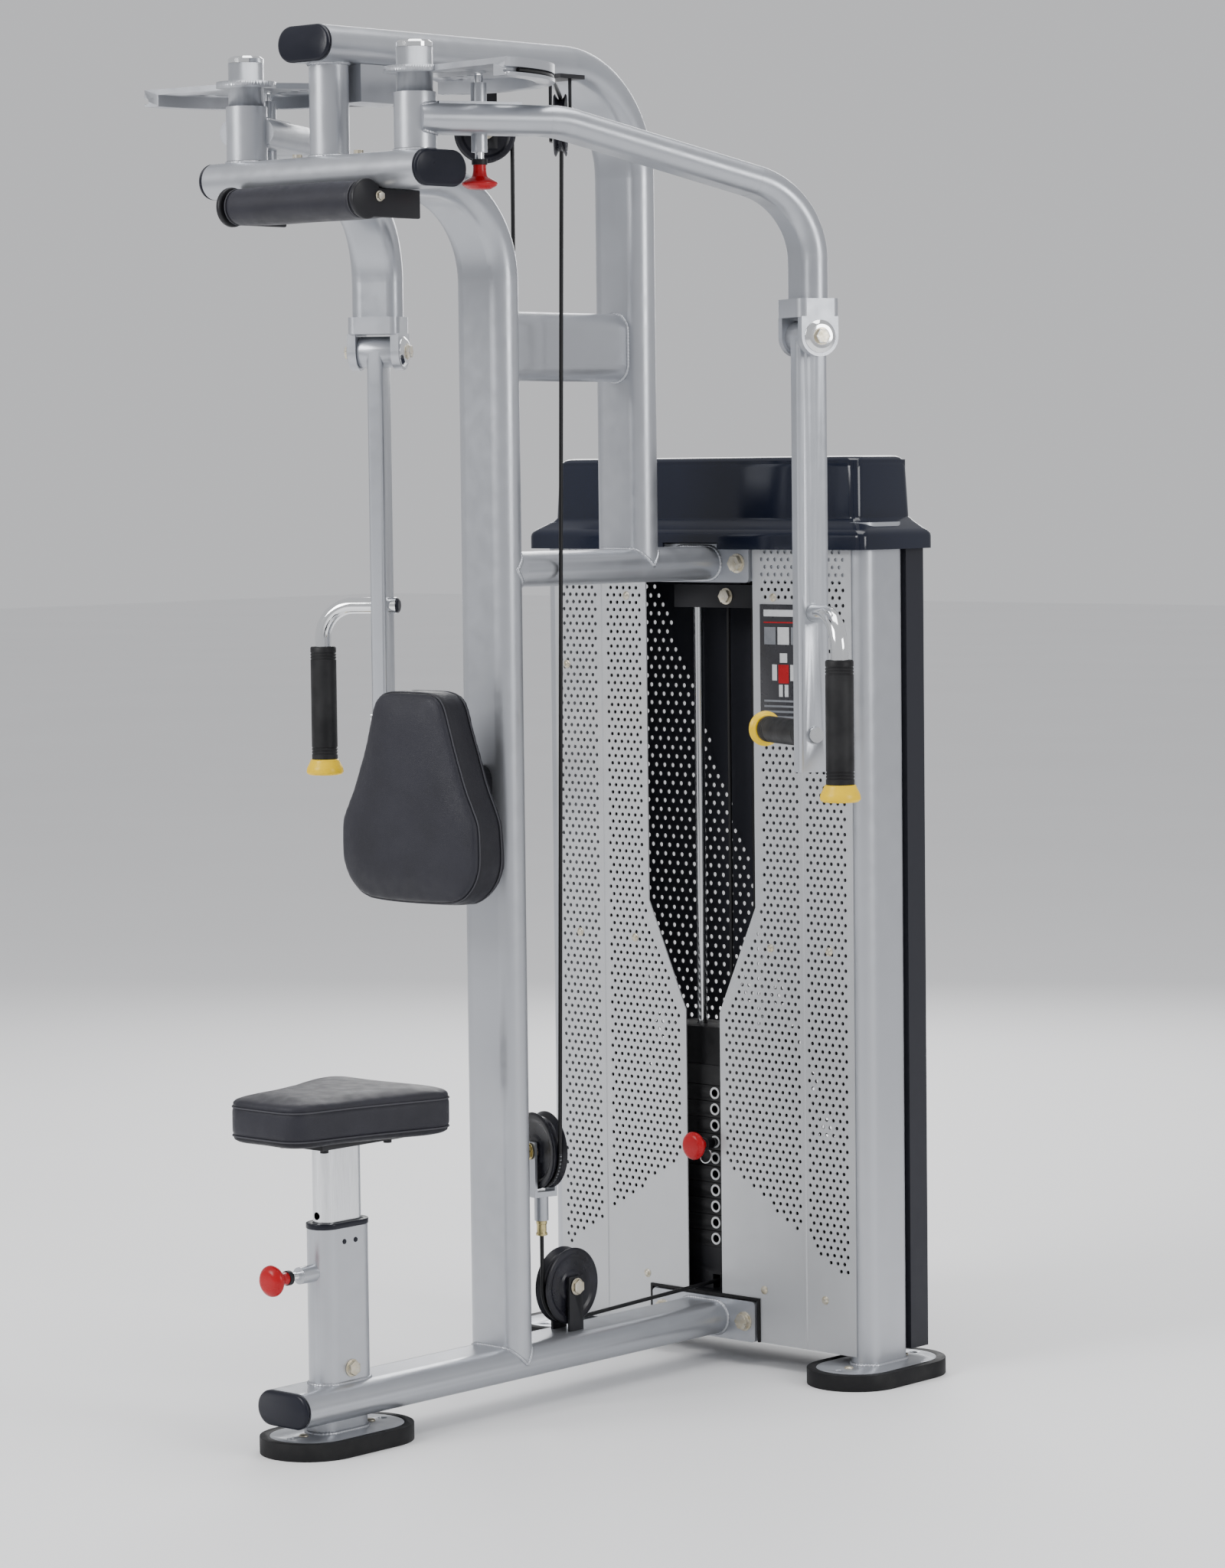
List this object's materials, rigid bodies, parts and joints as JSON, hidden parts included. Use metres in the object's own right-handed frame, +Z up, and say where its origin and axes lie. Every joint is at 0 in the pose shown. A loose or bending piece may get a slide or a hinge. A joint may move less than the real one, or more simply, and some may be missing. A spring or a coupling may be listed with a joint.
{
  "type": "pec deck machine",
  "caption": "Seated chest-fly gym machine: welded tube frame, seat, back pad, swinging arms with handle bars, cable drive and shrouded weight stack.",
  "frame": {"origin": "middle of the machine's footprint on the floor: the centre of its bounding box at floor height", "axes": "+Z up; +Y from the seat towards the weight tower; +X to the right as seen from the seat side"},
  "size_m": [1.0826, 1.1129, 1.975],
  "materials": {
    "frame_paint": "satin",
    "end_cap": "satin",
    "foot_rubber": "matte",
    "shroud_sheet": "satin",
    "dark_sheet": "satin",
    "cover": "gloss",
    "upholstery": "satin",
    "chrome": "polished",
    "zinc_bolt": "satin",
    "plate_iron": "satin",
    "black_metal": "satin",
    "pulley": "satin",
    "red_knob": "gloss",
    "cable": "satin",
    "grip": "matte",
    "placard": "satin",
    "bright_post": "satin"
  },
  "bodies": {
    "root": {"base_tube": "frame_paint", "end_caps": "end_cap", "foot_plates": "frame_paint", "foot_pads": "foot_rubber", "main_upright": "frame_paint", "top_tube": "frame_paint", "link_tubes": "frame_paint", "pivot_beam": "frame_paint", "centre_post": "frame_paint", "pivot_shafts": "chrome", "roller_pad": "upholstery", "roller_bracket": "black_metal", "tower_frame": "frame_paint", "left_shroud": "shroud_sheet", "right_shroud": "shroud_sheet", "rear_shroud": "dark_sheet", "shroud_screws": "zinc_bolt", "edge_trim": "foot_rubber", "top_cover": "cover", "guide_rods": "chrome", "rod_bracket": "black_metal", "stack_base": "black_metal", "resting_plates": "plate_iron", "placard": "placard", "pulley_brackets": "black_metal", "back_pad": "upholstery", "back_pad_bracket": "black_metal", "seat_sleeve": "frame_paint", "seat_collar": "end_cap", "frame_bolts": "zinc_bolt", "fixed_cables": "cable"},
    "stack": {"head_plate": "plate_iron", "lifted_plates": "plate_iron", "stack_cable": "cable"},
    "selector": {"selector_pin": "red_knob"},
    "floater": {"float_clevis": "frame_paint", "arm_cable_runs": "cable", "weight_cable_drop": "cable"},
    "float_wheel": {"float_pulley": "pulley"},
    "lower_wheel": {"lower_pulley": "pulley"},
    "right_redirect_wheel": {"right_redirect_pulley": "pulley"},
    "left_redirect_wheel": {"left_redirect_pulley": "pulley"},
    "tower_lower_wheel": {"tower_lower_pulley": "pulley"},
    "tower_upper_wheel": {"tower_upper_pulley": "pulley"},
    "seat": {"seat_post": "bright_post", "seat_pad": "upholstery", "seat_plate": "black_metal"},
    "seat_lock": {"seat_pin": "red_knob"},
    "right_cam_body": {"right_cam": "frame_paint"},
    "left_cam_body": {"left_cam": "frame_paint"},
    "right_arm_body": {"right_arm": "frame_paint"},
    "left_arm_body": {"left_arm": "frame_paint"},
    "right_arm_lock": {"right_pull_pin": "red_knob"},
    "left_arm_lock": {"left_pull_pin": "red_knob"},
    "right_bar_body": {"right_bar": "frame_paint", "right_handles": "chrome", "right_grips": "grip"},
    "left_bar_body": {"left_bar": "frame_paint", "left_handles": "chrome", "left_grips": "grip"}
  },
  "joints": [
    {"name": "weight_lift", "type": "slide", "parent": "root", "child": "stack", "axis": [0, 0, 1], "range_m": [0, 0.259], "deforming": ["stack_cable"]},
    {"name": "selector_pull", "type": "slide", "parent": "stack", "child": "selector", "axis": [0, -1, 0], "range_m": [0, 0.11]},
    {"name": "float_lift", "type": "slide", "parent": "root", "child": "floater", "axis": [0, 0, 1], "range_m": [0, 0.259], "deforming": ["arm_cable_runs", "weight_cable_drop"]},
    {"name": "float_pulley_spin", "type": "hinge", "parent": "floater", "child": "float_wheel", "pos_m": [0, 0.0195, 0.366], "axis": [-0.2588, -0.9659, 0], "continuous": true},
    {"name": "lower_pulley_spin", "type": "hinge", "parent": "root", "child": "lower_wheel", "pos_m": [0, 0.0725, 0.158], "axis": [1, 0, 0], "range_deg": [-282, 0]},
    {"name": "right_redirect_spin", "type": "hinge", "parent": "root", "child": "right_redirect_wheel", "pos_m": [0.08302, -0.00088, 1.854], "axis": [0.7595, 0.6505, 0], "range_deg": [0, 373]},
    {"name": "left_redirect_spin", "type": "hinge", "parent": "root", "child": "left_redirect_wheel", "pos_m": [-0.08212, 0.01637, 1.854], "axis": [0.7782, -0.628, 0], "range_deg": [0, 373]},
    {"name": "tower_lower_spin", "type": "hinge", "parent": "root", "child": "tower_lower_wheel", "pos_m": [0, 0.4915, 0.14], "axis": [1, 0, 0], "range_deg": [-677, 0]},
    {"name": "tower_upper_spin", "type": "hinge", "parent": "root", "child": "tower_upper_wheel", "pos_m": [0, 0.485, 1.298], "axis": [1, 0, 0], "range_deg": [-523, 0]},
    {"name": "seat_height", "type": "slide", "parent": "root", "child": "seat", "axis": [0, 0, 1], "range_m": [-0.05, 0.1]},
    {"name": "seat_pin_pull", "type": "slide", "parent": "root", "child": "seat_lock", "axis": [0, -1, 0], "range_m": [0, 0.012], "stiffness_N_per_m": 600},
    {"name": "right_cam_turn", "type": "hinge", "parent": "root", "child": "right_cam_body", "pos_m": [0.165, -0.3825, 1.902], "axis": [0, 0, 1], "range_deg": [-80, 0]},
    {"name": "left_cam_turn", "type": "hinge", "parent": "root", "child": "left_cam_body", "pos_m": [-0.165, -0.3825, 1.902], "axis": [0, 0, 1], "range_deg": [0, 80]},
    {"name": "right_arm_set", "type": "hinge", "parent": "right_cam_body", "child": "right_arm_body", "pos_m": [0.165, -0.3825, 1.84], "axis": [0, 0, 1], "range_deg": [-42, 0]},
    {"name": "left_arm_set", "type": "hinge", "parent": "left_cam_body", "child": "left_arm_body", "pos_m": [-0.165, -0.3825, 1.84], "axis": [0, 0, 1], "range_deg": [0, 42]},
    {"name": "right_pull_pin_pull", "type": "slide", "parent": "right_arm_body", "child": "right_arm_lock", "axis": [0, 0, -1], "range_m": [0, 0.012], "stiffness_N_per_m": 800},
    {"name": "right_bar_swing", "type": "hinge", "parent": "right_arm_body", "child": "right_bar_body", "pos_m": [0.42561, 0.13566, 1.545], "axis": [0.8934, -0.4493, 0], "range_deg": [-25, 15]},
    {"name": "left_pull_pin_pull", "type": "slide", "parent": "left_arm_body", "child": "left_arm_lock", "axis": [0, 0, -1], "range_m": [0, 0.012], "stiffness_N_per_m": 800},
    {"name": "left_bar_swing", "type": "hinge", "parent": "left_arm_body", "child": "left_bar_body", "pos_m": [-0.42561, 0.13566, 1.545], "axis": [-0.8934, -0.4493, 0], "range_deg": [-15, 25]}
  ],
  "couplings": [
    {"joint": "float_lift", "follows": "weight_lift", "ratio": 1},
    {"joint": "lower_pulley_spin", "follows": "weight_lift", "rad_per_m": -18.868},
    {"joint": "right_redirect_spin", "follows": "weight_lift", "rad_per_m": 25},
    {"joint": "left_redirect_spin", "follows": "weight_lift", "rad_per_m": 25},
    {"joint": "tower_lower_spin", "follows": "weight_lift", "rad_per_m": -45.455},
    {"joint": "tower_upper_spin", "follows": "weight_lift", "rad_per_m": -35.088},
    {"joint": "right_cam_turn", "follows": "weight_lift", "rad_per_m": -5.3763},
    {"joint": "left_cam_turn", "follows": "weight_lift", "rad_per_m": 5.3763}
  ]
}
